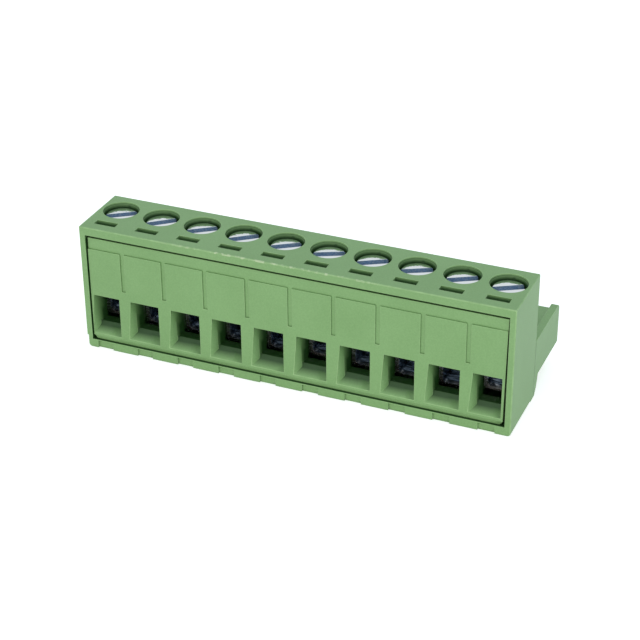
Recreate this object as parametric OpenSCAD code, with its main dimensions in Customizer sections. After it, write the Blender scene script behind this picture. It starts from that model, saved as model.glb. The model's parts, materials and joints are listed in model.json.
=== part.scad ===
// Pluggable terminal block: a moulded plug for cable ends, with a rising-cage
// screw clamp and a forked spring contact for each pole.
// Origin: middle of the underside's outline. X runs along the row of poles,
// -Y is the side the wires enter, +Y the side that plugs into a header, Z is up.

/* [Row] */
// Number of poles in the row
poles = 10; // [2:1:12]
// Distance from one pole to the next
pitch = 5.08; // [5:0.02:6.35]

/* [Screw block] */
// Height of the block that holds the clamps
block_h = 15.4; // [15.15:0.05:18]
// Depth of the block, wire face to back face
block_d = 8.45; // [8.35:0.05:11]
// Rim above the wire frame
rim_top = 1; // [0.8:0.05:1.3]
// Rim below the wire frame
rim_bottom = 1.05; // [0.7:0.05:1.2]
// Rim at each end of the wire frame
rim_end = 0.7; // [0.6:0.05:0.8]
// Depth of the recess that the wire frame snaps into
recess_d = 2.5; // [2:0.05:2.9]
// Radius of the block's two lower front corners
foot_r = 0.4; // [0.1:0.05:0.6]
// Height of the step at the foot of the left end wall
step_h = 1.45; // [0.8:0.05:2]
// Depth of that step
step_d = 0.15; // [0.05:0.01:0.3]
// Height of the floor under each clamp
chamber_z = 1.55; // [1:0.05:1.8]

/* [Mould reliefs] */
// Width of the relief under each wire entry
relief_w = 1.92; // [1:0.05:3]
// Distance of a relief's middle to the left of its pole
relief_x = 0.19; // [0:0.01:0.5]
// Rim left standing above the reliefs
relief_lip = 0.1; // [0.05:0.01:0.3]
// Depth of the reliefs
relief_d = 0.26; // [0.1:0.02:0.5]
// Radius of the last relief's upper outer corner
relief_r = 0.4; // [0.1:0.05:0.6]

/* [Latch windows] */
// Width of each window in the top rim
window_w = 2.6; // [1.5:0.05:3.4]
// Length of each window, front to back
window_d = 0.93; // [0.7:0.01:1]
// Distance from the wire face to a window
window_y = 1.29; // [1:0.01:1.4]

/* [Nose] */
// Length of the nose behind the block
nose_d = 9; // [8:0.1:12]
// Height of the underside of the nose
nose_z = 2.3; // [1.6:0.05:2.5]
// Height of the nose itself
nose_h = 4.1; // [3.8:0.05:4.3]
// Step in from the block's end wall to the nose's
nose_inset = 0.05; // [0.05:0.05:0.4]
// Height of the guide ribs on the nose
rib_h = 0.75; // [0.4:0.05:1.2]
// Width of a guide rib between two poles
rib_w = 0.9; // [0.5:0.05:1.4]
// Width of the guide rib at each end
end_rib_w = 0.85; // [0.5:0.05:1.4]
// Radius of the ribs' rear top corner
rib_r = 0.55; // [0.2:0.05:0.7]
// Rear wall of the nose
nose_wall = 0.85; // [0.6:0.05:1.5]
// Height of a contact cavity in the nose
cavity_h = 2.6; // [2.4:0.05:2.8]
// Side of the square window for a header pin
pin_window = 1.9; // [1.6:0.05:2.1]
// Depth of the flare at the mouth of a pin window
flare_d = 0.35; // [0.1:0.05:0.5]

/* [Wire frame] */
// Gap under and behind the wire frame, and round its lugs
frame_gap = 0.08; // [0.04:0.01:0.12]
// Gap above the wire frame
top_gap = 0.4; // [0.1:0.01:0.5]
// Gap at the wire frame's left end
left_gap = 0.16; // [0.05:0.01:0.3]
// Gap at its right end, wider, as the frame snapped in
right_gap = 0.3; // [0.05:0.01:0.35]
// Step back of the strip above the pads
strip_y = 0.35; // [0.25:0.01:0.5]
// Step back of the pads
pad_y = 0.2; // [0.1:0.01:0.24]
// Height of the pads' upper edge
pad_z = 12.65; // [11:0.05:13.5]
// Height of the pads' lower edge
pad_low = 1.57; // [1.3:0.01:1.8]
// Width of the grooves between the pads
groove_w = 0.5; // [0.3:0.02:0.8]
// Height at which the grooves end
groove_z = 7.9; // [7.2:0.05:9]
// Size of the cut across each lower corner of the frame
corner_cut = 0.35; // [0.1:0.05:0.6]
// Height of the latch lugs above the frame
lug_h = 0.2; // [0.1:0.05:0.6]

/* [Wire entries] */
// Height of the top of a wire entry
mouth_top = 6.82; // [6.2:0.01:7]
// Height of the lower lip of a wire entry
mouth_z = 1.88; // [1.8:0.01:2.2]
// Width of the mouth left of its pole, at the top
mouth_top_w = 1.77; // [1.5:0.01:2]
// Width of the mouth left of its pole, at the lower lip
mouth_low_w = 2.22; // [1.8:0.01:2.3]
// Width of the mouth right of its pole
mouth_right_w = 1.72; // [1.5:0.01:1.9]
// Depth of the flare on the left
side_flare = 0.7; // [0.4:0.05:1.2]
// Half width of the passage where that flare ends
throat_w = 1.46; // [1.35:0.01:1.5]
// Half width of the passage at the frame's back
passage_w = 1.33; // [1:0.01:1.4]
// Height of the passage floor
passage_z = 3.06; // [2.6:0.01:3.2]
// Depth of the sloping floor in front of it
funnel_d = 1.05; // [0.5:0.05:1.4]
// Share of the width left on the outer side of the two end entries
end_outer = 0.76; // [0.7:0.01:1]
// Share of the width on their inner side
end_inner = 1.08; // [1:0.01:1.12]

/* [Screws] */
// Distance from the wire face to the screw axes
screw_y = 5.35; // [5.2:0.01:5.5]
// Radius of the screwdriver holes
bore_r = 2.02; // [1.95:0.01:2.1]
// Step out of the ring round the mouth of a hole
ring_step = 0.06; // [0.04:0.01:0.1]
// Depth of that ring
ring_d = 0.2; // [0.1:0.05:0.4]
// Radius of a screw head
head_r = 1.84; // [1.7:0.01:1.93]
// Height of a screw head
head_h = 1.9; // [1.4:0.05:2]
// Depth of the head's top below the block's top
head_sink = 0.58; // [0.2:0.01:0.7]
// Bevel round the head's top edge
head_edge = 0.15; // [0.05:0.05:0.3]
// Radius of the threaded shank
shank_r = 1.25; // [1.05:0.05:1.3]
// Bevel at the shank's tip
tip_edge = 0.3; // [0.1:0.05:0.5]
// Running gap round the shank
thread_gap = 0.05; // [0.02:0.01:0.08]
// Width of the driver slot
slot_w = 0.8; // [0.5:0.05:1]
// Depth of the driver slot
slot_d = 0.9; // [0.4:0.05:1.1]

/* [Clamps] */
// Width of a clamp
clamp_w = 3.4; // [3.3:0.05:3.6]
// Depth of a clamp, front to back
clamp_d = 3.5; // [3.3:0.05:3.6]
// Side wall of a clamp
clamp_t = 0.4; // [0.3:0.02:0.45]
// Thickness of a clamp's floor
jaw_t = 0.55; // [0.45:0.05:0.75]
// Thickness of a clamp's threaded top
nut_t = 1.6; // [1.2:0.05:1.65]
// Underside of a clamp in its lowest place
clamp_z = 2.2; // [2.1:0.01:2.4]
// Gap between a clamp and the walls of its chamber
clamp_gap = 0.1; // [0.05:0.01:0.12]
// Outer radius of a clamp's folded corners
fold_r = 0.6; // [0.4:0.05:0.8]
// Inner radius beside a clamp's floor
seat_r = 0.5; // [0.2:0.05:0.6]
// Radius of a clamp's front and back lips
lip_r = 0.25; // [0.1:0.05:0.3]
// Depth of the gripping grooves across a clamp's floor
grip_r = 0.12; // [0.06:0.01:0.2]

/* [Contacts] */
// Height of the contact bar's underside
bar_z = 6.45; // [6.3:0.01:6.6]
// Thickness of the contact strip
strip_t = 0.6; // [0.4:0.05:0.6]
// Width of the contact strip
strip_w = 2.2; // [2:0.05:2.3]
// Inner radius of the bend behind the bar
bend_r = 0.25; // [0.15:0.05:0.3]
// Step back of the bar's front behind the clamp's
bar_inset = 0.2; // [0.1:0.05:0.5]
// Gap between a contact and the walls round it
contact_gap = 0.1; // [0.05:0.01:0.12]
// Thickness of a spring finger
finger_t = 0.35; // [0.25:0.05:0.45]
// Height of a spring finger
finger_h = 1.6; // [1.2:0.05:2]
// Straight length at a finger's root
finger_root = 1.2; // [0.8:0.1:1.8]
// Length of a finger's flared tip
finger_tip = 1.5; // [1:0.1:2]
// Gap between the two fingers of a contact where they meet a pin
pin_gap = 0.8; // [0.5:0.05:0.95]

/* [Hidden] */
function two(n) = str(n < 10 ? "0" : "", n);
numbers = [for (i = [0:poles - 1]) two(i + 1)];
$fn = 64;

green = [0.51, 0.66, 0.47];
zinc = [0.72, 0.76, 0.78];
tin = [0.66, 0.68, 0.68];
copper_tin = [0.78, 0.74, 0.66];

// How far each clamp stands above its lowest place, as it was left
lifts = [0.35, 0, 0.05, 0.05, 0, 0.4, 0.05, 0, 0, 0.75];
// Angle at which each screw's slot was left
slot_angles = [35, 40, 36, 38, 34, 26, 30, 28, 30, 30];

over = 1; // how far a cutting solid runs past the face it opens
lap = 0.01; // how far joined solids run into each other

length = poles * pitch;
depth = block_d + nose_d;
function pole_x(i) = (i - (poles - 1) / 2) * pitch;

// Heights, from the top of the block down
head_top = block_h - head_sink;
head_z = head_top - head_h;
ledge_z = head_z - thread_gap;
ledge_t = 0.7;
chamber_top = ledge_z - ledge_t;
bar_top = bar_z + strip_t;
tip_z = bar_top + thread_gap;

// Distances behind the wire face
chamber_back = screw_y + clamp_d / 2 + clamp_gap;
web_y = chamber_back;
web_back = web_y + strip_t;
pocket_back = web_back + contact_gap;
cavity_back = depth - nose_wall;

// Contact cavity
nose_top = nose_z + nose_h;
pin_z = nose_z + nose_h / 2;
cavity_w = strip_w + 2 * contact_gap;
cavity_z = pin_z - cavity_h / 2;
chamber_w = clamp_w + 2 * clamp_gap;

module on_poles() {
    for (i = [0:poles - 1]) translate([pole_x(i), 0, 0]) children();
}

// Moves work drawn from the wire face onto the frame with its origin in the middle
module from_wire_face() translate([0, -depth / 2, 0]) children();

// Extrudes an outline drawn in (y, z) along X, from x0 to x1
module across(x0, x1) {
    translate([x0, 0, 0]) rotate([90, 0, 90]) linear_extrude(x1 - x0) children();
}

// Extrudes an outline drawn in (x, z) backwards, from y0 to y1
module backwards(y0, y1) {
    translate([0, y1, 0]) rotate([90, 0, 0]) linear_extrude(y1 - y0) children();
}

// A box centred in x on the pole, from its other limits
module slab(w, y0, y1, z0, z1) {
    translate([-w / 2, y0, z0]) cube([w, y1 - y0, z1 - z0]);
}

// A rectangle with round corners, drawn from its lower left corner
module round_rect(w, h, r) {
    translate([r, 0]) square([w - 2 * r, h]);
    translate([0, r]) square([w, h - 2 * r]);
    for (x = [r, w - r], y = [r, h - r]) translate([x, y]) circle(r);
}

// ---- Housing ----

// Front outline: round lower corners, the left one under a small step
module block_outline() {
    difference() {
        translate([-length / 2, 0]) square([length, block_h]);
        translate([-length / 2 - over, -over]) square([over + step_d, over + step_h]);
        for (side = [-1, 1]) {
            x = side * length / 2 + (side < 0 ? step_d : 0);
            translate([x, 0]) mirror([side < 0 ? 0 : 1, 0]) difference() {
                square(foot_r);
                translate([foot_r, foot_r]) circle(foot_r);
            }
        }
    }
}

// Web down the block's back: how far it stands out, at shares of the height under the nose
web_steps = [[0.35, 0], [1, 0.37], [1.2, 0.6], [1.45, 1]];

// Side outline of the nose and its web

module nose_outline(top) {
    polygon(concat([[block_d - over, 0]],
                   [for (s = web_steps) [block_d + s[0], s[1] * nose_z]],
                   [[depth, nose_z], [depth, top], [block_d - over, top]]));
}

module rib_outline() {
    difference() {
        nose_outline(nose_top + rib_h);
        translate([depth - rib_r, nose_top + rib_h - rib_r]) difference() {
            square(rib_r + over);
            circle(rib_r);
        }
    }
}

module nose_body() {
    half = length / 2 - nose_inset;
    across(-half, half) nose_outline(nose_top);
    for (side = [0, 1]) mirror([side, 0, 0]) across(half - end_rib_w, half) rib_outline();
    for (i = [1:poles - 1])
        translate([pole_x(i) - pitch / 2, 0, 0]) across(-rib_w / 2, rib_w / 2) rib_outline();
}

module frame_recess() {
    w = length - 2 * rim_end;
    slab(w, -over, recess_d, rim_bottom, block_h - rim_top);
}

module relief_outline() {
    translate([-relief_x - relief_w / 2, -over]) square([relief_w, over + rim_bottom - relief_lip]);
}

// Reliefs in the foot's front; the last one's upper outer corner is round
module foot_reliefs() {
    for (i = [0:poles - 2]) translate([pole_x(i), 0, 0]) backwards(-over, relief_d) relief_outline();
    translate([pole_x(poles - 1), 0, 0]) backwards(-over, relief_d) difference() {
        relief_outline();
        translate([relief_w / 2 - relief_x - relief_r, rim_bottom - relief_lip - relief_r]) difference() {
            square(relief_r + over);
            circle(relief_r);
        }
    }
}

// Square mouth for a header pin, flared at the rear
module pin_mouth() {
    translate([0, depth, pin_z]) {
        slab(pin_window, -nose_wall - over, over, -pin_window / 2, pin_window / 2);
        mouth = pin_window / sqrt(2);
        rotate([90, 0, 0]) rotate(45) translate([0, 0, -lap])
            cylinder(h = flare_d, r1 = mouth + flare_d, r2 = mouth, $fn = 4);
    }
}

module chamber() {
    slab(chamber_w, recess_d - over, chamber_back, chamber_z, chamber_top);
    slab(cavity_w, chamber_back - lap, pocket_back, cavity_z, bar_top + contact_gap);
    slab(cavity_w, chamber_back - lap, cavity_back, cavity_z, cavity_z + cavity_h);
}

module screw_hole() {
    translate([0, screw_y, 0]) {
        translate([0, 0, ledge_z]) cylinder(h = block_h, r = bore_r);
        translate([0, 0, chamber_top - over]) cylinder(h = ledge_t + 2 * over, r = shank_r + thread_gap);
        translate([0, 0, block_h - ring_d]) cylinder(h = ring_d + over, r = bore_r + ring_step);
    }
}

module housing() color(green) from_wire_face() difference() {
    union() {
        backwards(0, block_d) block_outline();
        nose_body();
    }
    frame_recess();
    foot_reliefs();
    on_poles() {
        slab(window_w, window_y, window_y + window_d, block_h - rim_top - over, block_h + over);
        chamber();
        screw_hole();
        pin_mouth();
    }
}

// ---- Wire frame ----

frame_left = rim_end + left_gap - length / 2;
frame_right = length / 2 - rim_end - right_gap;
frame_low = rim_bottom + frame_gap;
frame_top = block_h - rim_top - top_gap;
frame_back = recess_d - frame_gap;

// Reach of a wall at y, from its reach at two other places
function reach(y, y0, w0, y1, w1) = w0 + (w1 - w0) * (y - y0) / (y1 - y0);

// Cutting solid of a wire entry, in plan: its left wall is twisted from the leaning
// edge at the face to the upright one where the flare ends, so it is drawn in strips
module entry_plan(left, right) {
    strips = 4;
    y0 = pad_y - over;
    y1 = frame_back + over;
    throat_y = pad_y + side_flare;
    low = mouth_z - 2 * over;
    function mouth_w(z) = reach(z, mouth_top, mouth_top_w, mouth_z, mouth_low_w);
    function plan(z) = [
        [-left * reach(y0, pad_y, mouth_w(z), throat_y, throat_w), y0, z],
        [-left * throat_w, throat_y, z],
        [-left * reach(y1, throat_y, throat_w, frame_back, passage_w), y1, z],
        [right * reach(y1, pad_y, mouth_right_w, frame_back, passage_w), y1, z],
        [right * reach(y0, pad_y, mouth_right_w, frame_back, passage_w), y0, z]];
    n = len(plan(low));
    // Side face c of strip k; the first one is twisted, so it is two triangles
    function side(k, c) = let (a = k * n + c, b = k * n + (c + 1) % n)
        c == 0 ? [[a, b, a + n], [a + n, b, b + n]] : [[a, b, b + n, a + n]];
    polyhedron(
        points = [for (k = [0:strips], p = plan(low + k * (mouth_top - low) / strips)) p],
        faces = concat([for (k = [0:strips - 1], c = [0:n - 1], face = side(k, c)) face],
                       [[for (c = [n - 1:-1:0]) c], [for (c = [0:n - 1]) strips * n + c]])
    );
}

// The same solid's side outline: a floor that rises from the lip to the passage
module entry_side() {
    rise = (passage_z - mouth_z) / funnel_d;
    polygon([[pad_y - over, mouth_z - rise * over], [pad_y + funnel_d, passage_z],
             [frame_back + over, passage_z], [frame_back + over, mouth_top], [pad_y - over, mouth_top]]);
}

// Front outline of the frame, cut across its lower corners
module frame_outline() {
    side = frame_low + corner_cut;
    polygon([[frame_left + corner_cut, frame_low], [frame_right - corner_cut, frame_low], [frame_right, side],
             [frame_right, frame_top], [frame_left, frame_top], [frame_left, side]]);
}

// Snap lug: upright at the front, ramped at the back
module lug_outline() {
    y0 = window_y + frame_gap;
    y1 = window_y + window_d - frame_gap;
    lug_top = frame_top + top_gap + lug_h;
    polygon([[y0, frame_top - lap], [y0, lug_top], [y0 + lug_h / 2, lug_top], [y1, frame_top - lap]]);
}

module wire_frame() color(green) from_wire_face() difference() {
    union() {
        backwards(strip_y, frame_back) frame_outline();
        backwards(pad_y, strip_y + lap) translate([frame_left, pad_low])
            square([frame_right - frame_left, pad_z - pad_low]);
        on_poles() across(-window_w / 2 + frame_gap, window_w / 2 - frame_gap) lug_outline();
    }
    for (i = [1:poles - 1]) translate([pole_x(i) - pitch / 2, 0, 0])
        slab(groove_w, pad_y - over, strip_y, groove_z, pad_z + over);
    for (i = [0:poles - 1]) translate([pole_x(i), 0, 0]) intersection() {
        entry_plan(i == 0 ? end_outer : i == poles - 1 ? end_inner : 1,
                   i == poles - 1 ? end_outer : i == 0 ? end_inner : 1);
        across(-pitch, pitch) entry_side();
    }
}

// ---- Screws ----

module screw(i) color(zinc) from_wire_face() translate([pole_x(i), screw_y, 0]) {
    difference() {
        rotate_extrude() polygon([
            [0, tip_z], [shank_r - tip_edge, tip_z], [shank_r, tip_z + tip_edge], [shank_r, head_z],
            [head_r, head_z], [head_r, head_top - head_edge], [head_r - head_edge, head_top], [0, head_top]
        ]);
        translate([0, 0, head_top]) rotate(slot_angles[i % len(slot_angles)])
            cube([4 * head_r, slot_w, 2 * slot_d], center = true);
    }
}

// ---- Clamps ----

nut_z = bar_top + contact_gap;
clamp_top = nut_z + nut_t;

// Front outline: a folded frame, its wire space rounded at the floor
module clamp_outline() {
    inner_w = clamp_w - 2 * clamp_t;
    inner_h = nut_z - clamp_z - jaw_t;
    difference() {
        translate([-clamp_w / 2, clamp_z]) round_rect(clamp_w, clamp_top - clamp_z, fold_r);
        translate([-inner_w / 2, clamp_z + jaw_t]) {
            round_rect(inner_w, inner_h, seat_r);
            translate([0, inner_h / 2]) square([inner_w, inner_h / 2]);
        }
    }
}

module clamp(i) color(tin) from_wire_face()
    translate([pole_x(i), screw_y, lifts[i % len(lifts)]]) difference() {
        intersection() {
            backwards(-clamp_d / 2, clamp_d / 2) clamp_outline();
            across(-clamp_w / 2, clamp_w / 2)
                translate([-clamp_d / 2, clamp_z]) round_rect(clamp_d, clamp_top - clamp_z, lip_r);
        }
        translate([0, 0, clamp_z + jaw_t]) cylinder(h = clamp_top, r = shank_r + thread_gap);
        for (k = [-1:1]) translate([clamp_t - clamp_w / 2, k * clamp_d / 4, clamp_z + jaw_t])
            rotate([0, 90, 0]) cylinder(h = clamp_w - 2 * clamp_t, r = grip_r);
    }

// ---- Contacts ----

// A strip's corner in the side view: outer radius at the origin's far side
module bend_outline(r, t) {
    intersection() {
        difference() {
            circle(r + t);
            circle(r);
        }
        square(r + t);
    }
}

// Bar through the clamp and web behind it, one strip bent downwards
module strip_outline() {
    bar_y = screw_y - clamp_d / 2 + bar_inset;
    bend_y = web_y - bend_r;
    bend_z = bar_z - bend_r;
    web_z = cavity_z + contact_gap;
    translate([bar_y, bar_z]) square([bend_y - bar_y, strip_t]);
    translate([bend_y, bend_z]) bend_outline(bend_r, strip_t);
    translate([web_y, web_z]) square([strip_t, bend_z - web_z]);
}

// One spring finger seen from above: out of the web, in to the pin and out again
module finger_plan() {
    x0 = strip_w / 2;
    y0 = web_back - lap;
    root = y0 + finger_root;
    tip = cavity_back - contact_gap;
    touch = tip - finger_tip;
    inner = pin_gap / 2;
    polygon([[x0, y0], [x0, root], [inner + finger_t, touch], [x0, tip],
             [x0 - finger_t, tip], [inner, touch], [x0 - finger_t, root], [x0 - finger_t, y0]]);
}

module contact(i) color(copper_tin) from_wire_face() translate([pole_x(i), 0, 0]) {
    across(-strip_w / 2, strip_w / 2) strip_outline();
    for (side = [0, 1]) mirror([side, 0, 0])
        translate([0, 0, pin_z - finger_h / 2]) linear_extrude(finger_h) finger_plan();
}

housing();
wire_frame();
for (i = [0:poles - 1]) {
    screw(i);
    clamp(i);
    contact(i);
}
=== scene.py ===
# Pluggable terminal block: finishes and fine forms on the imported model.
import json
import math

import bmesh
import bpy
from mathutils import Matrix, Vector


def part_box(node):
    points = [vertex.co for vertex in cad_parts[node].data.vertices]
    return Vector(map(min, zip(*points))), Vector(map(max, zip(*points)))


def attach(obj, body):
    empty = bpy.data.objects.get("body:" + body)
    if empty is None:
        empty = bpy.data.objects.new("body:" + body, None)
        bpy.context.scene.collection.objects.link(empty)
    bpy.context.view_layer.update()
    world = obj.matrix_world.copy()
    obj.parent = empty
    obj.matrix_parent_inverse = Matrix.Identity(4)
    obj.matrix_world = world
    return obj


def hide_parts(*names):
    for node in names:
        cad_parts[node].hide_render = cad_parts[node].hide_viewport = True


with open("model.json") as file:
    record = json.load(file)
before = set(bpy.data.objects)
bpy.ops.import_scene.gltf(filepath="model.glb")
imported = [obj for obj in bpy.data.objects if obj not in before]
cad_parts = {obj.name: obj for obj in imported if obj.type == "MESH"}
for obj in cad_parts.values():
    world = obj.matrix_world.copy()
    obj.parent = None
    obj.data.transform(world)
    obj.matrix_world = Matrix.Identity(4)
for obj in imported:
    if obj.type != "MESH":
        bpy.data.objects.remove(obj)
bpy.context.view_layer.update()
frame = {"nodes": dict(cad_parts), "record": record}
mm = 0.001  # the model is in metres, the sizes below are in millimetres
touch = 0.01 * mm  # places nearer to each other than this count as one

nodes = frame["nodes"]
bodyOf = {n: body for body, members in frame["record"]["behaviour"]["bodies"].items() for n in members}
poles = sorted(n[-2:] for n in nodes if n.startswith("screw_"))
housingLow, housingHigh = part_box("housing")
pitch = (housingHigh.x - housingLow.x) / len(poles)
print("frame loaded,", len(poles), "poles")


def linear(text):  # sRGB hex to linear colour
    channels = [int(text[i:i + 2], 16) / 255 for i in (1, 3, 5)]
    return [c / 12.92 if c <= 0.04045 else ((c + 0.055) / 1.055) ** 2.4 for c in channels] + [1]


def addNode(tree, kind, inputs=None, **settings):  # an input is a value, a socket, or a node's first output
    node = tree.nodes.new(kind)
    for name, value in settings.items():
        setattr(node, name, value)
    for key, value in (inputs or {}).items():
        if isinstance(value, bpy.types.Node):
            value = value.outputs[0]
        if isinstance(value, bpy.types.NodeSocket):
            tree.links.new(value, node.inputs[key])
        else:
            node.inputs[key].default_value = value
    return node


def newMaterial(name):
    material = bpy.data.materials.new(name)
    material.use_nodes = True
    material.node_tree.nodes.clear()
    return material, material.node_tree


def plainMesh(piece):  # applies what modifiers the piece has
    depsgraph = bpy.context.evaluated_depsgraph_get()
    mesh = bpy.data.meshes.new_from_object(piece.evaluated_get(depsgraph), depsgraph=depsgraph)
    piece.modifiers.clear()
    piece.data = mesh


camera = {
    "place": (68.70, -163.09, 106.04),  # mm
    "turn": (1.04860, 0.00626, 0.39522),  # radians
    "lens": 101.36,
    "sensor": 36,
    "near": 10,  # mm
    "far": 3,  # metres
}


def makeCamera():
    data = bpy.data.cameras.new("camera")
    data.lens = camera["lens"]
    data.sensor_width = camera["sensor"]
    data.clip_start = camera["near"] * mm
    data.clip_end = camera["far"]
    seen = bpy.data.objects.new("camera", data)
    seen.location = Vector(camera["place"]) * mm
    seen.rotation_euler = camera["turn"]
    bpy.context.scene.collection.objects.link(seen)
    bpy.context.scene.camera = seen


studio = {
    "floorSize": 1.6,  # metres
    "floor": "#F4F4F2",
    "white": "#FFFFFF",
    "floorShown": 0.6,  # white that the floor adds of its own where it is seen, to stay a white ground
    "sky": "#DCE8F0",
    "dome": 0.86,  # level of the light from all round
    "key": "#FFF1E0",
    "keyTurn": (80, 0, 4),  # degrees, a wide low softbox ahead
    "keyDistance": 450,  # mm
    "keySize": (520, 140),
    "keyPower": 0.68,
}


def addSoftbox(name, colour, turn, distance, size, power):
    data = bpy.data.lights.new(name, "AREA")
    data.shape = "RECTANGLE"
    data.size, data.size_y = [side * mm for side in size]
    data.energy = power
    data.color = linear(colour)[:3]
    lamp = bpy.data.objects.new(name, data)
    lamp.rotation_euler = [math.radians(a) for a in turn]
    lamp.location = lamp.rotation_euler.to_matrix() @ Vector((0, 0, distance * mm))
    bpy.context.scene.collection.objects.link(lamp)


def seenShare(tree):  # 1 on rays that show the ground or the sky itself, 0 on rays that carry light
    path = addNode(tree, "ShaderNodeLightPath").outputs
    seen = addNode(tree, "ShaderNodeMath", {0: path["Is Camera Ray"], 1: path["Is Glossy Ray"]},
                   operation="MAXIMUM")
    return addNode(tree, "ShaderNodeMath", {0: seen, 1: path["Is Transmission Ray"]}, operation="MAXIMUM")


def makeStudio():
    half = studio["floorSize"] / 2
    mesh = bpy.data.meshes.new("floor")
    corners = [(-half, -half, 0), (half, -half, 0), (half, half, 0), (-half, half, 0)]
    mesh.from_pydata(corners, [], [(0, 1, 2, 3)])
    floor = bpy.data.objects.new("floor", mesh)
    bpy.context.scene.collection.objects.link(floor)
    material, tree = newMaterial("paperFloor")
    shown = addNode(tree, "ShaderNodeMath", {0: seenShare(tree), 1: studio["floorShown"]},
                    operation="MULTIPLY")
    shader = addNode(tree, "ShaderNodeBsdfPrincipled", {
        "Base Color": linear(studio["floor"]), "Roughness": 1, "Specular IOR Level": 0,
        "Emission Color": linear(studio["white"]), "Emission Strength": shown})
    addNode(tree, "ShaderNodeOutputMaterial", {"Surface": shader})
    mesh.materials.append(material)

    world = bpy.data.worlds.new("studio")
    world.use_nodes = True
    tree = world.node_tree
    tree.nodes.clear()
    seen = seenShare(tree)
    level = addNode(tree, "ShaderNodeMix", {0: seen, 2: studio["dome"], 3: 1.0}, data_type="FLOAT")
    colour = addNode(tree, "ShaderNodeMix", {0: seen, 6: linear(studio["sky"]), 7: linear(studio["white"])},
                     data_type="RGBA")
    background = addNode(tree, "ShaderNodeBackground", {"Color": colour.outputs[2], "Strength": level})
    addNode(tree, "ShaderNodeOutputWorld", {"Surface": background})
    bpy.context.scene.world = world
    addSoftbox("keySoftbox", studio["key"], studio["keyTurn"], studio["keyDistance"], studio["keySize"],
               studio["keyPower"])
    bpy.context.scene.view_settings.view_transform = "Standard"


polyamide = {
    "dark": "#7BA467",
    "light": "#87B073",
    "cloud": 6.0,  # mm, slow drift of the colour
    "cloudDetail": 3,
    "cloudTone": {"From Min": 0.35, "From Max": 0.65},
    "grain": 0.16,  # mm; the real spark-eroded grain is finer, and is drawn as coarse as shows
    "grainDetail": 2,
    "grainTone": {"From Min": 0.36, "From Max": 0.64},
    "grainShare": 0.55,  # of the colour's drift that follows the grain, and the rest the cloud
    # paler tint along rounded edges, partly wear and partly a painted highlight
    "edge": "#A3C88C",
    "wear": 0.9,  # mm, how fast the wear and painted highlight along an edge come and go
    "wearDetail": 3,
    "wearTone": {"From Min": 0.3, "From Max": 0.7, "To Min": 0.25, "To Max": 0.9},
    # whitish bits on the top front edge, partly rubbing and partly a painted highlight
    "rubbed": "#D3DEB8",
    "rubbedShare": 0.6,
    "rubMiddle": -2.0,  # mm along the row, where the top front edge is rubbed and painted brightest
    "rubReach": 14.0,  # mm to each side, the second half of it fading
    "rubSize": 0.5,
    "rubDetail": 4,
    "rubTone": {"From Min": 0.5, "From Max": 0.6},
    "rubWidth": 1.5,  # times the edge's radius
    "deep": "#16400F",  # painted shade in creases and chambers, where little light reaches
    "creaseReach": 0.45,  # mm
    "creaseSamples": 8,
    "creaseTone": {"From Min": 0.1, "From Max": 0.85, "To Min": 0.62, "To Max": 0.0},
    "chamberFrom": 0.18,  # mm inside a passage or a hole, where the painted shade starts
    "chamberReach": 1.9,  # and where it is complete
    "chamberShare": 0.97,
    "ledgeShare": 2.6,  # how much more painted shade a surface gets that looks up
    "roughness": {"To Min": 0.42, "To Max": 0.56},
    "bumpStrength": 0.5,
    "bumpHeight": 0.02,  # mm
    "ior": 1.53,
}


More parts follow.
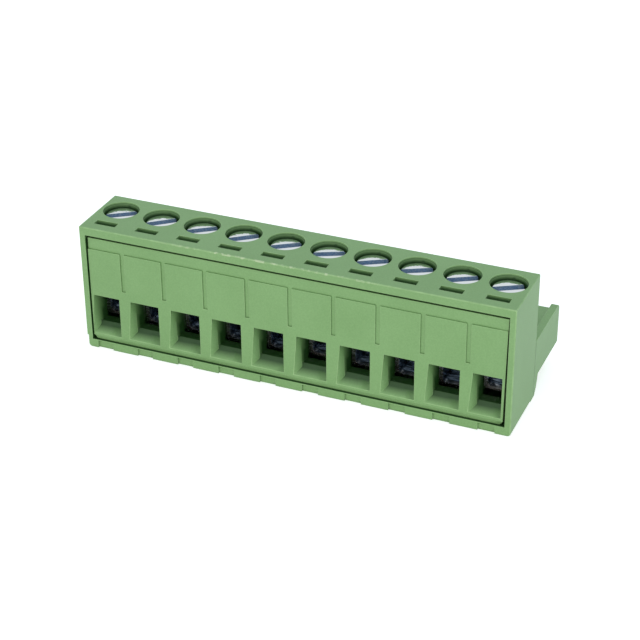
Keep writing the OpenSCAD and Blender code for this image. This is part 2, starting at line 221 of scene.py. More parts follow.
def makePolyamide():
    # Injection-moulded polyamide 66: satin, finely grained by the mould, paler along the edges, partly from
    # wear and partly a painted highlight where they catch the light
    material, tree = newMaterial("mouldedPolyamide")
    place = addNode(tree, "ShaderNodeTexCoord").outputs["Object"]
    grain = addNode(tree, "ShaderNodeTexNoise", {
        "Vector": place, "Scale": 1 / (polyamide["grain"] * mm), "Detail": polyamide["grainDetail"]})
    cloud = addNode(tree, "ShaderNodeTexNoise", {
        "Vector": place, "Scale": 1 / (polyamide["cloud"] * mm), "Detail": polyamide["cloudDetail"]})
    cloudTone = addNode(tree, "ShaderNodeMapRange", {"Value": cloud, **polyamide["cloudTone"]})
    grainTone = addNode(tree, "ShaderNodeMapRange", {"Value": grain, **polyamide["grainTone"]})
    tone = addNode(tree, "ShaderNodeMix", {0: polyamide["grainShare"], 2: cloudTone, 3: grainTone},
                   data_type="FLOAT")
    body = addNode(tree, "ShaderNodeMix", {
        0: tone, 6: linear(polyamide["dark"]), 7: linear(polyamide["light"])}, data_type="RGBA")

    # Wear and painted highlight: a paler tint along rounded edges
    edge = addNode(tree, "ShaderNodeAttribute", attribute_name="edgeShare").outputs["Fac"]
    wear = addNode(tree, "ShaderNodeTexNoise", {
        "Vector": place, "Scale": 1 / (polyamide["wear"] * mm), "Detail": polyamide["wearDetail"]})
    wear = addNode(tree, "ShaderNodeMapRange", {"Value": wear, **polyamide["wearTone"]})
    wornAndHighlit = addNode(tree, "ShaderNodeMath", {0: edge, 1: wear}, operation="MULTIPLY")
    body = addNode(tree, "ShaderNodeMix", {
        0: wornAndHighlit, 6: body.outputs[2], 7: linear(polyamide["edge"])}, data_type="RGBA")

    # Whitish bits where the top front edge was rubbed most, partly a painted highlight
    spot = addNode(tree, "ShaderNodeSeparateXYZ", {"Vector": place}).outputs
    along = addNode(tree, "ShaderNodeMath", {0: spot["X"], 1: polyamide["rubMiddle"] * mm},
                    operation="SUBTRACT")
    along = addNode(tree, "ShaderNodeMath", {0: along}, operation="ABSOLUTE")
    along = addNode(tree, "ShaderNodeMapRange", {
        "Value": along, "From Min": polyamide["rubReach"] * 0.5 * mm, "From Max": polyamide["rubReach"] * mm,
        "To Min": 1.0, "To Max": 0.0})
    rubWidth = rounding["outer"] * polyamide["rubWidth"] * mm
    atTop = addNode(tree, "ShaderNodeMath", {0: spot["Z"], 1: housingHigh.z - rubWidth},
                    operation="GREATER_THAN")
    inFront = addNode(tree, "ShaderNodeMath", {0: spot["Y"], 1: housingLow.y + rubWidth},
                      operation="LESS_THAN")
    onEdge = addNode(tree, "ShaderNodeMath", {0: atTop, 1: inFront}, operation="MULTIPLY")
    onEdge = addNode(tree, "ShaderNodeMath", {0: along, 1: onEdge}, operation="MULTIPLY")
    bits = addNode(tree, "ShaderNodeTexNoise", {
        "Vector": place, "Scale": 1 / (polyamide["rubSize"] * mm), "Detail": polyamide["rubDetail"]})
    bits = addNode(tree, "ShaderNodeMapRange", {"Value": bits, **polyamide["rubTone"]})
    bits = addNode(tree, "ShaderNodeMath", {0: bits, 1: onEdge}, operation="MULTIPLY")
    bits = addNode(tree, "ShaderNodeMath", {0: bits, 1: polyamide["rubbedShare"]}, operation="MULTIPLY")
    body = addNode(tree, "ShaderNodeMix", {
        0: bits, 6: body.outputs[2], 7: linear(polyamide["rubbed"])}, data_type="RGBA")

    # Painted shade: creases and chambers are drawn darker, most of all where a surface in them looks up
    near = addNode(tree, "ShaderNodeAmbientOcclusion", {"Distance": polyamide["creaseReach"] * mm},
                   samples=polyamide["creaseSamples"])
    crease = addNode(tree, "ShaderNodeMapRange", {"Value": near.outputs["AO"], **polyamide["creaseTone"]})
    inward = addNode(tree, "ShaderNodeAttribute", attribute_name="inward").outputs["Fac"]
    normal = addNode(tree, "ShaderNodeNewGeometry").outputs["Normal"]
    upward = addNode(tree, "ShaderNodeSeparateXYZ", {"Vector": normal}).outputs["Z"]
    upward = addNode(tree, "ShaderNodeMath", {0: upward, 1: 0.0}, operation="MAXIMUM")
    upward = addNode(tree, "ShaderNodeMath", {0: upward, 1: polyamide["ledgeShare"], 2: 1.0},
                     operation="MULTIPLY_ADD")
    chamber = addNode(tree, "ShaderNodeMath", {0: inward, 1: upward}, operation="MULTIPLY")
    chamber = addNode(tree, "ShaderNodeMapRange", {
        "Value": chamber, "To Max": polyamide["chamberShare"],
        "From Min": polyamide["chamberFrom"] * mm, "From Max": polyamide["chamberReach"] * mm})
    deep = addNode(tree, "ShaderNodeMath", {0: crease, 1: chamber}, operation="MAXIMUM")
    body = addNode(tree, "ShaderNodeMix", {
        0: deep, 6: body.outputs[2], 7: linear(polyamide["deep"])}, data_type="RGBA")

    rough = addNode(tree, "ShaderNodeMapRange", {"Value": grain, **polyamide["roughness"]})
    bump = addNode(tree, "ShaderNodeBump", {
        "Height": grain, "Strength": polyamide["bumpStrength"], "Distance": polyamide["bumpHeight"] * mm})
    shader = addNode(tree, "ShaderNodeBsdfPrincipled", {
        "Base Color": body.outputs[2], "Roughness": rough, "Normal": bump, "IOR": polyamide["ior"]})
    addNode(tree, "ShaderNodeOutputMaterial", {"Surface": shader})
    return material


zinc = {
    "plate": "#D3DADE",
    # the slot is drawn bluer, in streaks along the saw's marks
    "slot": "#86A8CE",
    "sawScale": (700, 9000, 9000),  # per metre, so that the saw's marks are 1.4 mm long and 0.11 mm wide
    "sawDetail": 3,
    "sawTone": {"From Min": 0.35, "From Max": 0.65, "To Min": 0.25, "To Max": 1.0},
    "wave": 0.55,  # mm, the slight unevenness of the pressed head
    "waveDetail": 2,
    "waveStrength": 1.0,
    "waveHeight": 0.016,
    "roughness": {"To Min": 0.04, "To Max": 0.12},
    "slotRoughness": 0.3,  # added in the slot
    "slotMetal": -0.6,  # likewise, on how metallic it is
    "rings": 0.11,  # mm between turning marks
    "ringStrength": 0.012,
    "ringHeight": 0.02,  # mm
}


def makeZinc():
    # Zinc-plated steel: bright but uneven, with faint turning marks, drawn bluer in streaks in the slot
    material, tree = newMaterial("zincPlatedSteel")
    place = addNode(tree, "ShaderNodeTexCoord").outputs["Object"]
    slot = addNode(tree, "ShaderNodeAttribute", attribute_name="inSlot").outputs["Fac"]
    saw = addNode(tree, "ShaderNodeMapping", {"Vector": place, "Scale": zinc["sawScale"]})
    blue = addNode(tree, "ShaderNodeTexNoise", {"Vector": saw, "Scale": 1.0, "Detail": zinc["sawDetail"]})
    blue = addNode(tree, "ShaderNodeMapRange", {"Value": blue, **zinc["sawTone"]})
    blue = addNode(tree, "ShaderNodeMath", {0: slot, 1: blue}, operation="MULTIPLY")
    tint = addNode(tree, "ShaderNodeMix", {0: blue, 6: linear(zinc["plate"]), 7: linear(zinc["slot"])},
                   data_type="RGBA")

    wave = addNode(tree, "ShaderNodeTexNoise", {
        "Vector": place, "Scale": 1 / (zinc["wave"] * mm), "Detail": zinc["waveDetail"]})
    rough = addNode(tree, "ShaderNodeMapRange", {"Value": wave, **zinc["roughness"]})
    rough = addNode(tree, "ShaderNodeMath", {0: slot, 1: zinc["slotRoughness"], 2: rough},
                    operation="MULTIPLY_ADD")
    metal = addNode(tree, "ShaderNodeMath", {0: slot, 1: zinc["slotMetal"], 2: 1.0}, operation="MULTIPLY_ADD")

    fromAxis = addNode(tree, "ShaderNodeAttribute", attribute_name="fromAxis").outputs["Vector"]
    radius = addNode(tree, "ShaderNodeVectorMath", {0: fromAxis, 1: (1, 1, 0)}, operation="MULTIPLY")
    radius = addNode(tree, "ShaderNodeVectorMath", {0: radius}, operation="LENGTH").outputs["Value"]
    rings = addNode(tree, "ShaderNodeMath", {0: radius, 1: 2 * math.pi / (zinc["rings"] * mm)},
                    operation="MULTIPLY")
    rings = addNode(tree, "ShaderNodeMath", {0: rings}, operation="SINE")
    uneven = addNode(tree, "ShaderNodeBump", {
        "Height": wave, "Strength": zinc["waveStrength"], "Distance": zinc["waveHeight"] * mm})
    bump = addNode(tree, "ShaderNodeBump", {
        "Height": rings, "Strength": zinc["ringStrength"], "Distance": zinc["ringHeight"] * mm,
        "Normal": uneven})
    shader = addNode(tree, "ShaderNodeBsdfPrincipled", {
        "Base Color": tint.outputs[2], "Roughness": rough, "Metallic": metal, "Normal": bump})
    addNode(tree, "ShaderNodeOutputMaterial", {"Surface": shader})
    return material


nickel = {
    "plate": "#F2F5F8",
    "inside": "#5E7288",  # painted shade deep between the jaws, where it shows hardly more than its own reflections
    "insideFrom": 0.1,  # mm behind the front of the folded strip
    "insideReach": 0.7,
    "strokes": (3.0, 0.16),  # mm, length and width of the rolling marks, drawn coarser than they are
    "strokeDetail": 2,
    "roughness": {"To Min": 0.2, "To Max": 0.36},
    "bumpStrength": 0.06,
    "bumpHeight": 0.02,  # mm
}


def makeNickel():
    # Nickel-plated steel strip, folded: bright, with fine rolling marks along the fold, and painted shade
    # between the jaws
    material, tree = newMaterial("nickelPlatedSteel")
    place = addNode(tree, "ShaderNodeTexCoord").outputs["Object"]
    length, width = nickel["strokes"]
    stretched = addNode(tree, "ShaderNodeMapping", {
        "Vector": place, "Scale": (1 / (length * mm), 1 / (width * mm), 1 / (width * mm))})
    marks = addNode(tree, "ShaderNodeTexNoise", {
        "Vector": stretched, "Scale": 1.0, "Detail": nickel["strokeDetail"]})
    inward = addNode(tree, "ShaderNodeAttribute", attribute_name="inward").outputs["Fac"]
    inside = addNode(tree, "ShaderNodeMapRange", {
        "Value": inward, "From Min": nickel["insideFrom"] * mm, "From Max": nickel["insideReach"] * mm})
    tint = addNode(tree, "ShaderNodeMix", {
        0: inside, 6: linear(nickel["plate"]), 7: linear(nickel["inside"])}, data_type="RGBA")
    rough = addNode(tree, "ShaderNodeMapRange", {"Value": marks, **nickel["roughness"]})
    bump = addNode(tree, "ShaderNodeBump", {
        "Height": marks, "Strength": nickel["bumpStrength"], "Distance": nickel["bumpHeight"] * mm})
    shader = addNode(tree, "ShaderNodeBsdfPrincipled", {
        "Base Color": tint.outputs[2], "Metallic": 1, "Roughness": rough, "Normal": bump})
    addNode(tree, "ShaderNodeOutputMaterial", {"Surface": shader})
    return material


tin = {
    "plate": "#A9AEB2",
    "cloud": 0.4,  # mm, mottle of the reflowed tin
    "cloudDetail": 4,
    "roughness": {"To Min": 0.25, "To Max": 0.5},
    "bumpStrength": 0.2,
    "bumpHeight": 0.02,  # mm
}


def makeTin():
    # Tinned bronze strip: soft grey, slightly mottled where the tin flowed
    material, tree = newMaterial("tinnedBronze")
    place = addNode(tree, "ShaderNodeTexCoord").outputs["Object"]
    cloud = addNode(tree, "ShaderNodeTexNoise", {
        "Vector": place, "Scale": 1 / (tin["cloud"] * mm), "Detail": tin["cloudDetail"]})
    rough = addNode(tree, "ShaderNodeMapRange", {"Value": cloud, **tin["roughness"]})
    bump = addNode(tree, "ShaderNodeBump", {
        "Height": cloud, "Strength": tin["bumpStrength"], "Distance": tin["bumpHeight"] * mm})
    shader = addNode(tree, "ShaderNodeBsdfPrincipled", {
        "Base Color": linear(tin["plate"]), "Metallic": 1, "Roughness": rough, "Normal": bump})
    addNode(tree, "ShaderNodeOutputMaterial", {"Surface": shader})
    return material


rounding = {
    "outer": 0.12,  # mm, radius on the outer edges of the housing
    "back": 0.25,  # on the block's upright back edges
    "inner": 0.04,  # on every other sharp edge of the mouldings
    "metal": 0.06,
    "rolled": 0.42,  # round the mouth of a clamp
    "sharpFrom": 28,  # degrees, where an edge counts as sharp
    "segments": 3,
    "cornerReach": 0.6,  # mm, the rounded corners of the foot lie this near to the ends
    "blockDepth": 8.45,
    "noseLow": 2.3,
    "noseHeight": 4.1,
    "skin": 0.3,  # mm, from here inwards a point counts as inside
    "frontSkins": 3,  # the front counts as outside for this many skins
    "noseSkins": 2,  # how many skins are taken from the nose's height
    "holeShade": 3.0,  # how much faster a hole from above darkens than the nose
    "merge": 0.0002,  # mm, points nearer than this become one
    "onSeam": 0.0005,
    "flat": 0.5,  # degrees, faces that turn less than this become one
    "flatWeight": 100,  # above 50 the larger faces decide the normals
}


def onHull(point, low, high):  # how many outer planes of the box a point lies on
    return sum(abs(point[i] - low[i]) < touch or abs(point[i] - high[i]) < touch for i in range(3))


def howFarIn(nodeName, point, low, high):
    skin = rounding["skin"] * mm
    if nodeName != "housing":
        return max(0, point.y - low.y)
    if abs(point.x) > high.x - skin or point.y < low.y + rounding["frontSkins"] * skin or point.z < skin:
        return 0
    if point.y > low.y + rounding["blockDepth"] * mm - skin:  # from the back, in the nose
        height = point.z - rounding["noseLow"] * mm
        inNose = skin < height < rounding["noseHeight"] * mm - rounding["noseSkins"] * skin
        return max(0, high.y - point.y) * inNose
    return (high.z - point.z) * rounding["holeShade"]


def roundedCopy(nodeName, pieceName, material, radiusOf, width, refine=None, keepClear=False):
    mesh = nodes[nodeName].data.copy()
    work = bmesh.new()
    work.from_mesh(mesh)
    bmesh.ops.remove_doubles(work, verts=work.verts, dist=rounding["merge"] * mm)
    if refine:
        refine(work)
    for k in range(len(poles)):  # a seam through the middle of each pole leaves no face with a hole in it
        middle = Vector((housingLow.x + (k + 0.5) * pitch, 0, 0))
        cut = bmesh.ops.bisect_plane(work, geom=work.verts[:] + work.edges[:] + work.faces[:],
                                     dist=rounding["onSeam"] * mm, plane_co=middle, plane_no=(1, 0, 0))
        for part in cut["geom_cut"]:
            if isinstance(part, bmesh.types.BMEdge):
                part.seam = True
    bmesh.ops.dissolve_limit(work, angle_limit=math.radians(rounding["flat"]), verts=work.verts,
                             edges=work.edges, delimit={"SEAM"})
    weight = work.edges.layers.float.new("bevel_weight_edge")
    for edge in work.edges:
        if edge.is_manifold and edge.calc_face_angle() > math.radians(rounding["sharpFrom"]):
            radius = radiusOf(edge) if edge.is_convex else 0
            edge[weight] = radius / width
            edge.smooth = radius > 0
    for face in work.faces:
        face.smooth = True
        face.material_index = 0
    work.to_mesh(mesh)
    work.free()
    mesh.materials.clear()
    mesh.materials.append(material)
    mesh.materials.append(material)  # the second slot marks the rounded strips until they are counted
    piece = bpy.data.objects.new(pieceName, mesh)
    bpy.context.scene.collection.objects.link(piece)
    bevel = piece.modifiers.new("rounding", "BEVEL")
    bevel.limit_method = "WEIGHT"
    bevel.width = width * mm
    bevel.segments = rounding["segments"]
    bevel.use_clamp_overlap = keepClear
    bevel.material = 1
    flat = piece.modifiers.new("flatFaces", "WEIGHTED_NORMAL")  # keeps large faces flat beside the rounding
    flat.weight = rounding["flatWeight"]
    flat.keep_sharp = True
    plainMesh(piece)
    low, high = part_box(nodeName)
    # How far inside a hole or passage each point lies, and which faces are rounded strips
    inward = piece.data.attributes.new("inward", "FLOAT", "POINT")
    inward.data.foreach_set("value", [howFarIn(nodeName, v.co, low, high) for v in piece.data.vertices])
    share = piece.data.attributes.new("edgeShare", "FLOAT", "FACE")
    share.data.foreach_set("value", [float(p.material_index == 1) for p in piece.data.polygons])
    for polygon in piece.data.polygons:
        polygon.material_index = 0
    piece.data.materials.pop(index=1)
    return piece


def finishPiece(piece, nodeName):
    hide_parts(nodeName)
    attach(piece, bodyOf[nodeName])


def housingRadius(edge):
    ends = [v.co for v in edge.verts]
    inFront = all(abs(point.y - housingLow.y) < touch for point in ends)
    atEnd = all(abs(point.x) > housingHigh.x - rounding["cornerReach"] * mm for point in ends)
    if (inFront and atEnd) or all(onHull(point, housingLow, housingHigh) >= 2 for point in ends):
        return rounding["outer"]
    blockBack = housingLow.y + rounding["blockDepth"] * mm
    if atEnd and all(abs(point.y - blockBack) < touch for point in ends):
        return rounding["back"]
    return rounding["inner"]


mouth = {
    "low": 1.88,  # mm above the base, where a wire mouth begins in the face
    "top": 6.82,
    "onFace": 0.002,  # points this near to the face belong to it
    "edgeReach": 0.5,  # of the pitch, how far from a pole's middle its mouth's side edges are looked for
    "throat": 0.7,  # mm behind the face, where the side flare ends
    "throatLow": 2.667,
    "throatReach": 0.4,  # of the pitch
    "throatSpread": 0.14,  # mm, how much further left the throat's left side stands at the top
    "thinWall": 0.5,  # mm from the frame's left end, where it stays sharp
    "lower": 0.06,  # how much nearer to the housing the foot of the frame lies
    "closer": 0.16,  # and its right end at the top, as the frame sits a little askew
}


def drawMouthsStraight(work):  # each mouth's side edge runs straight from its top corner to its bottom corner
    face = min(v.co.y for v in work.verts)
    low, top = mouth["low"] * mm, mouth["top"] * mm
    throatLow = mouth["throatLow"] * mm
    for k in range(len(poles)):
        middle = housingLow.x + (k + 0.5) * pitch
        for side in (-1, 1):
            edge = [v for v in work.verts
                    if abs(v.co.y - face) < mouth["onFace"] * mm and low - touch < v.co.z < top + touch
                    and 0 < side * (v.co.x - middle) < mouth["edgeReach"] * pitch]
            first = min(edge, key=lambda v: abs(v.co.z - low))
            last = min(edge, key=lambda v: abs(v.co.z - top))
            for v in edge:
                lean = (first.co.x - last.co.x) * (last.co.z - v.co.z) / (last.co.z - first.co.z)
                v.co.x = last.co.x + lean
        for v in work.verts:
            throat = abs(v.co.y - face - mouth["throat"] * mm) < touch and v.co.z > throatLow
            if throat and -mouth["throatReach"] * pitch < v.co.x - middle < 0:
                v.co.x -= mouth["throatSpread"] * mm * (v.co.z - throatLow) / (top - throatLow)


def fitWireFrame(work):  # straight mouths, and the frame's right end and foot nearer to the housing
    drawMouthsStraight(work)
    low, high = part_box("wire_frame")
    for v in work.verts:
        if v.co.x > high.x - touch:
            v.co.x += mouth["closer"] * mm * (v.co.z - low.z) / (high.z - low.z)
        if v.co.z < low.z + touch:
            v.co.z -= mouth["lower"] * mm


def frameRadius(edge):  # the wall beside the first mouth is too thin for two roundings, and stays sharp
    low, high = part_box("wire_frame")
    return 0 if all(v.co.x < low.x + mouth["thinWall"] * mm for v in edge.verts) else rounding["inner"]


def makeMouldings(material):
    housing = roundedCopy("housing", "mouldedHousing", material, housingRadius, rounding["back"])
    finishPiece(housing, "housing")
    wireFrame = roundedCopy("wire_frame", "mouldedWireFrame", material, frameRadius, rounding["inner"],
                            refine=fitWireFrame)
    finishPiece(wireFrame, "wire_frame")


def makeMetalwork(clampMaterial, contactMaterial):
    for pole in poles:
        for kind, title, material, slot in (("clamp_", "foldedClamp_", clampMaterial, "nickel_steel"),
                                            ("contact_", "forkedContact_", contactMaterial, "tinned_bronze")):
            low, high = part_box(kind + pole)

            def metalRadius(edge):  # the clamp's mouth is rolled wide for the wire
                rolled = kind == "clamp_" and all(abs(v.co.y - low.y) < touch and onHull(v.co, low, high) < 2
                                                  for v in edge.verts)
                return rounding["rolled"] if rolled else rounding["metal"]

            piece = roundedCopy(kind + pole, title + pole, material, metalRadius, rounding["rolled"],
                                keepClear=True)
            finishPiece(piece, kind + pole)


screwForm = {
    "headHeight": 1.9,  # mm
    "headEdge": 0.15,
    "shankRadius": 1.25,
    "tipEdge": 0.3,
    "threadPitch": 0.45,  # M2.5 coarse
    "threadDepth": 0.17,
    "threadEnd": 1.01,  # times the tip's edge, where the thread stops above the tip
    "slotWidth": 0.94,
    "slotDepth": 0.9,
    "slotEdge": 0.035,  # rounding of the slot's and the head's edges
    "slotEdgeSegments": 2,
    "slotTurns": (35, 40, 36, 38, 34, 26, 30, 28, 30, 30),  # degrees, as each screw was left
    "sawLength": 3.0,  # times the head's radius
    "slotSide": 0.51,  # of the slot's width from its middle, within which a face belongs to it
    "slotTop": -0.05,  # of the slot's depth, from here down
    "slotFloor": -1.05,  # to here
    "merge": 0.001,  # mm, points nearer than this become one
    "segments": 72,
    "rowsPerTurn": 6,
}


def makeScrewTree():
    tree = bpy.data.node_groups.new("turnedScrew", "GeometryNodeTree")
    tree.interface.new_socket("Geometry", in_out="OUTPUT", socket_type="NodeSocketGeometry")
    for name, kind in (("Place", "Vector"), ("Head Radius", "Float"), ("Head Height", "Float"),
                       ("Head Edge", "Float"), ("Shank Radius", "Float"), ("Tip Edge", "Float"),
                       ("Length", "Float"), ("Thread Pitch", "Float"), ("Thread Depth", "Float"),
                       ("Slot Width", "Float"), ("Slot Depth", "Float"), ("Slot Turn", "Float"),
                       ("Segments", "Int"), ("Thread Rows", "Int"), ("Material", "Material")):
        tree.interface.new_socket(name, in_out="INPUT", socket_type="NodeSocket" + kind)
    given = addNode(tree, "NodeGroupInput").outputs

    # The turned outline, as radius and height, from the middle of the head's top to the middle of the tip
    headLow = addNode(tree, "ShaderNodeMath", {0: given["Head Height"], 1: -1.0}, operation="MULTIPLY")
    tipLow = addNode(tree, "ShaderNodeMath", {0: given["Length"], 1: -1.0}, operation="MULTIPLY")
    headFlat = addNode(tree, "ShaderNodeMath", {0: given["Head Radius"], 1: given["Head Edge"]},
                       operation="SUBTRACT")
    headSide = addNode(tree, "ShaderNodeMath", {0: given["Head Edge"], 1: -1.0}, operation="MULTIPLY")
    tipSide = addNode(tree, "ShaderNodeMath", {0: tipLow, 1: given["Tip Edge"]}, operation="ADD")
    tipFlat = addNode(tree, "ShaderNodeMath", {0: given["Shank Radius"], 1: given["Tip Edge"]},
                      operation="SUBTRACT")
    outline = [(0.0, 0.0), (headFlat, 0.0), (given["Head Radius"], headSide), (given["Head Radius"], headLow),
               (given["Shank Radius"], headLow), (given["Shank Radius"], tipSide), (tipFlat, tipLow),
               (0.0, tipLow)]
    shankStart = outline.index((given["Shank Radius"], headLow))
    index = addNode(tree, "GeometryNodeInputIndex")
    corner = addNode(tree, "GeometryNodeIndexSwitch", data_type="VECTOR")
    while len(corner.index_switch_items) < len(outline):
        corner.index_switch_items.new()
    tree.links.new(index.outputs[0], corner.inputs["Index"])
    for k, (radius, height) in enumerate(outline):
        place = addNode(tree, "ShaderNodeCombineXYZ", {"X": radius, "Y": height})
        tree.links.new(place.outputs[0], corner.inputs[k + 1])
    line = addNode(tree, "GeometryNodeMeshLine", {"Count": len(outline)})
    line = addNode(tree, "GeometryNodeSetPosition", {"Geometry": line, "Position": corner})
    curve = addNode(tree, "GeometryNodeMeshToCurve", {0: line})
    threaded = addNode(tree, "FunctionNodeCompare", {2: index, 3: shankStart},
                       data_type="INT", operation="EQUAL")
    rows = addNode(tree, "ShaderNodeMath", {0: given["Thread Rows"], 1: threaded}, operation="MULTIPLY")
    curve = addNode(tree, "GeometryNodeSubdivideCurve", {"Curve": curve, "Cuts": rows})
    spot = addNode(tree, "GeometryNodeInputPosition")
    profile = addNode(tree, "GeometryNodeCaptureAttribute")
    profile.capture_items.new("VECTOR", "spot")
    tree.links.new(curve.outputs[0], profile.inputs["Geometry"])
    tree.links.new(spot.outputs[0], profile.inputs["spot"])

    # One turn round the axis
    ring = addNode(tree, "GeometryNodeCurvePrimitiveCircle", {"Resolution": given["Segments"]})
    share = addNode(tree, "ShaderNodeMath", {0: index, 1: given["Segments"]}, operation="DIVIDE")
    turn = addNode(tree, "GeometryNodeCaptureAttribute")
    turn.capture_items.new("FLOAT", "turn")
    tree.links.new(ring.outputs[0], turn.inputs["Geometry"])
    tree.links.new(share.outputs[0], turn.inputs["turn"])
    lathe = addNode(tree, "GeometryNodeCurveToMesh", {"Curve": turn, "Profile Curve": profile})

    # Each point then takes its own radius, cut down by the helical thread where the shank has one
    onProfile = addNode(tree, "ShaderNodeSeparateXYZ", {"Vector": profile.outputs["spot"]}).outputs
    height = onProfile["Y"]
    phase = addNode(tree, "ShaderNodeMath", {0: height, 1: given["Thread Pitch"]}, operation="DIVIDE")
    phase = addNode(tree, "ShaderNodeMath", {0: phase, 1: turn.outputs["turn"]}, operation="ADD")
    wave = addNode(tree, "ShaderNodeMath", {0: phase}, operation="FRACT")
    wave = addNode(tree, "ShaderNodeMath", {0: wave, 1: 2.0}, operation="MULTIPLY")
    wave = addNode(tree, "ShaderNodeMath", {0: wave, 1: 1.0}, operation="SUBTRACT")
    wave = addNode(tree, "ShaderNodeMath", {0: wave}, operation="ABSOLUTE")
    threadTop = addNode(tree, "ShaderNodeMath", {0: headLow, 1: given["Thread Pitch"]}, operation="SUBTRACT")
    threadLow = addNode(tree, "ShaderNodeMath", {0: given["Tip Edge"], 1: screwForm["threadEnd"]},
                        operation="MULTIPLY")
    threadLow = addNode(tree, "ShaderNodeMath", {0: tipLow, 1: threadLow}, operation="ADD")
    below = addNode(tree, "ShaderNodeMath", {0: height, 1: threadTop}, operation="LESS_THAN")
    above = addNode(tree, "ShaderNodeMath", {0: height, 1: threadLow}, operation="GREATER_THAN")
    onThread = addNode(tree, "ShaderNodeMath", {0: below, 1: above}, operation="MULTIPLY")
    cut = addNode(tree, "ShaderNodeMath", {0: wave, 1: given["Thread Depth"]}, operation="MULTIPLY")
    cut = addNode(tree, "ShaderNodeMath", {0: onThread, 1: cut}, operation="MULTIPLY")
    radius = addNode(tree, "ShaderNodeMath", {0: onProfile["X"], 1: cut}, operation="SUBTRACT")
    angle = addNode(tree, "ShaderNodeMath", {0: turn.outputs["turn"], 1: 2 * math.pi}, operation="MULTIPLY")
    cosine = addNode(tree, "ShaderNodeMath", {0: angle}, operation="COSINE")
    sine = addNode(tree, "ShaderNodeMath", {0: angle}, operation="SINE")
    x = addNode(tree, "ShaderNodeMath", {0: radius, 1: cosine}, operation="MULTIPLY")
    y = addNode(tree, "ShaderNodeMath", {0: radius, 1: sine}, operation="MULTIPLY")
    turned = addNode(tree, "ShaderNodeCombineXYZ", {"X": x, "Y": y, "Z": height})
    body = addNode(tree, "GeometryNodeSetPosition", {"Geometry": lathe, "Position": turned})
    body = addNode(tree, "GeometryNodeMergeByDistance", {
        "Geometry": body, "Distance": screwForm["merge"] * mm})

    # The driver slot is sawn right across, by a box whose middle is the middle of the head's top
    sawLength = addNode(tree, "ShaderNodeMath", {0: given["Head Radius"], 1: screwForm["sawLength"]},
                        operation="MULTIPLY")
    sawHeight = addNode(tree, "ShaderNodeMath", {0: given["Slot Depth"], 1: 2.0}, operation="MULTIPLY")
    size = addNode(tree, "ShaderNodeCombineXYZ", {"X": sawLength, "Y": given["Slot Width"], "Z": sawHeight})
    sawTurn = addNode(tree, "ShaderNodeCombineXYZ", {"Z": given["Slot Turn"]})
    saw = addNode(tree, "GeometryNodeMeshCube", {"Size": size})
    saw = addNode(tree, "GeometryNodeTransform", {"Geometry": saw, "Rotation": sawTurn})
    body = addNode(tree, "GeometryNodeMeshBoolean", {"Mesh 1": body, "Mesh 2": saw},
                   operation="DIFFERENCE", solver="EXACT")

    # The slot's faces, and each point's place from the axis, are marked for the plating
    back = addNode(tree, "ShaderNodeMath", {0: given["Slot Turn"], 1: -1.0}, operation="MULTIPLY")
    across = addNode(tree, "ShaderNodeVectorRotate", {"Vector": spot, "Angle": back}, rotation_type="Z_AXIS")
    side = addNode(tree, "ShaderNodeSeparateXYZ", {"Vector": across}).outputs["Y"]
    side = addNode(tree, "ShaderNodeMath", {0: side}, operation="ABSOLUTE")
    depth = addNode(tree, "ShaderNodeSeparateXYZ", {"Vector": spot}).outputs["Z"]
    wall = addNode(tree, "ShaderNodeMath", {0: given["Slot Width"], 1: screwForm["slotSide"]},
                   operation="MULTIPLY")
    top = addNode(tree, "ShaderNodeMath", {0: given["Slot Depth"], 1: screwForm["slotTop"]},
                  operation="MULTIPLY")
    floor = addNode(tree, "ShaderNodeMath", {0: given["Slot Depth"], 1: screwForm["slotFloor"]},
                    operation="MULTIPLY")
    between = addNode(tree, "ShaderNodeMath", {0: side, 1: wall}, operation="LESS_THAN")
    underTop = addNode(tree, "ShaderNodeMath", {0: depth, 1: top}, operation="LESS_THAN")
    overFloor = addNode(tree, "ShaderNodeMath", {0: depth, 1: floor}, operation="GREATER_THAN")
    inSlot = addNode(tree, "ShaderNodeMath", {0: between, 1: underTop}, operation="MULTIPLY")
    inSlot = addNode(tree, "ShaderNodeMath", {0: inSlot, 1: overFloor}, operation="MULTIPLY")
    body = addNode(tree, "GeometryNodeStoreNamedAttribute", {
        "Geometry": body, "Name": "inSlot", "Value": inSlot}, data_type="FLOAT", domain="FACE")
    body = addNode(tree, "GeometryNodeStoreNamedAttribute", {
        "Geometry": body, "Name": "fromAxis", "Value": spot}, data_type="FLOAT_VECTOR", domain="POINT")

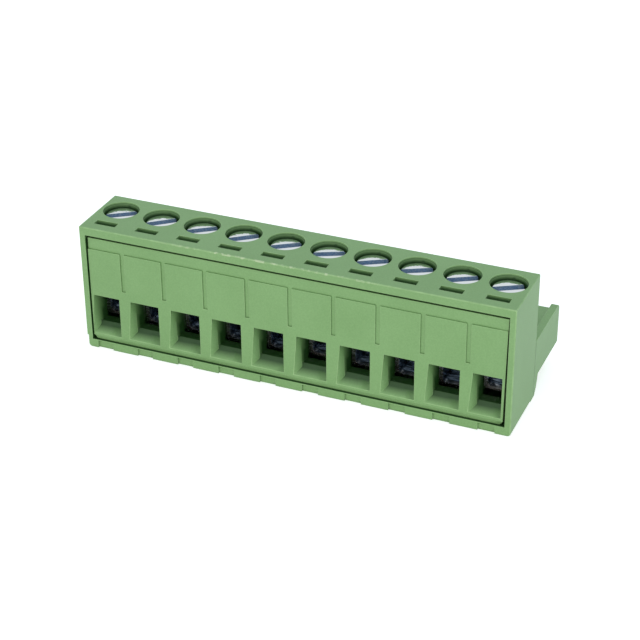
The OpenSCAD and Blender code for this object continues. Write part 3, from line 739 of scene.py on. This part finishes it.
    # The sharp edges of the head and the slot are marked for rounding
    edgeAngle = addNode(tree, "GeometryNodeInputMeshEdgeAngle")
    crease = addNode(tree, "ShaderNodeMath", {0: edgeAngle, 1: math.radians(rounding["sharpFrom"])},
                     operation="GREATER_THAN")
    headEnd = addNode(tree, "ShaderNodeMath", {0: headLow, 1: touch}, operation="ADD")
    onHead = addNode(tree, "ShaderNodeMath", {0: depth, 1: headEnd}, operation="GREATER_THAN")
    onHead = addNode(tree, "ShaderNodeMath", {0: crease, 1: onHead}, operation="MULTIPLY")
    body = addNode(tree, "GeometryNodeStoreNamedAttribute", {
        "Geometry": body, "Name": "bevel_weight_edge", "Value": onHead}, data_type="FLOAT", domain="EDGE")
    body = addNode(tree, "GeometryNodeSetShadeSmooth", {"Geometry": body, "Shade Smooth": True})
    body = addNode(tree, "GeometryNodeTransform", {"Geometry": body, "Translation": given["Place"]})
    body = addNode(tree, "GeometryNodeRealizeInstances", {"Geometry": body})
    body = addNode(tree, "GeometryNodeSetMaterial", {"Geometry": body, "Material": given["Material"]})
    addNode(tree, "NodeGroupOutput", {0: body})
    return tree


def makeScrews(material):
    tree = makeScrewTree()
    sockets = {item.name: item.identifier for item in tree.interface.items_tree if item.in_out == "INPUT"}
    for pole, turn in zip(poles, screwForm["slotTurns"]):
        low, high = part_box("screw_" + pole)
        shank = high.z - low.z - (screwForm["headHeight"] + screwForm["tipEdge"]) * mm
        values = {
            "Place": ((low.x + high.x) / 2, (low.y + high.y) / 2, high.z),
            "Head Radius": (high.x - low.x) / 2,
            "Head Height": screwForm["headHeight"] * mm,
            "Head Edge": screwForm["headEdge"] * mm,
            "Shank Radius": screwForm["shankRadius"] * mm,
            "Tip Edge": screwForm["tipEdge"] * mm,
            "Length": high.z - low.z,
            "Thread Pitch": screwForm["threadPitch"] * mm,
            "Thread Depth": screwForm["threadDepth"] * mm,
            "Slot Width": screwForm["slotWidth"] * mm,
            "Slot Depth": screwForm["slotDepth"] * mm,
            "Slot Turn": math.radians(turn),
            "Segments": screwForm["segments"],
            "Thread Rows": round(shank / (screwForm["threadPitch"] * mm) * screwForm["rowsPerTurn"]),
            "Material": material,
        }
        piece = bpy.data.objects.new("turnedScrew_" + pole, bpy.data.meshes.new("turnedScrew_" + pole))
        bpy.context.scene.collection.objects.link(piece)
        turned = piece.modifiers.new("turnedScrew", "NODES")
        turned.node_group = tree
        for name, value in values.items():
            turned[sockets[name]] = value
        bevel = piece.modifiers.new("rounding", "BEVEL")
        bevel.limit_method = "WEIGHT"
        bevel.width = screwForm["slotEdge"] * mm
        bevel.segments = screwForm["slotEdgeSegments"]
        bevel.use_clamp_overlap = False
        bevel.harden_normals = True
        plainMesh(piece)
        finishPiece(piece, "screw_" + pole)


makeCamera()
makeStudio()
print("camera, floor and light are set")
green = makePolyamide()
zincPlate = makeZinc()
nickelPlate = makeNickel()
tinPlate = makeTin()
print("materials are made")
makeMouldings(green)
print("mouldings are rounded")
makeMetalwork(nickelPlate, tinPlate)
print("clamps and contacts are rounded")
makeScrews(zincPlate)
print("screws are turned")
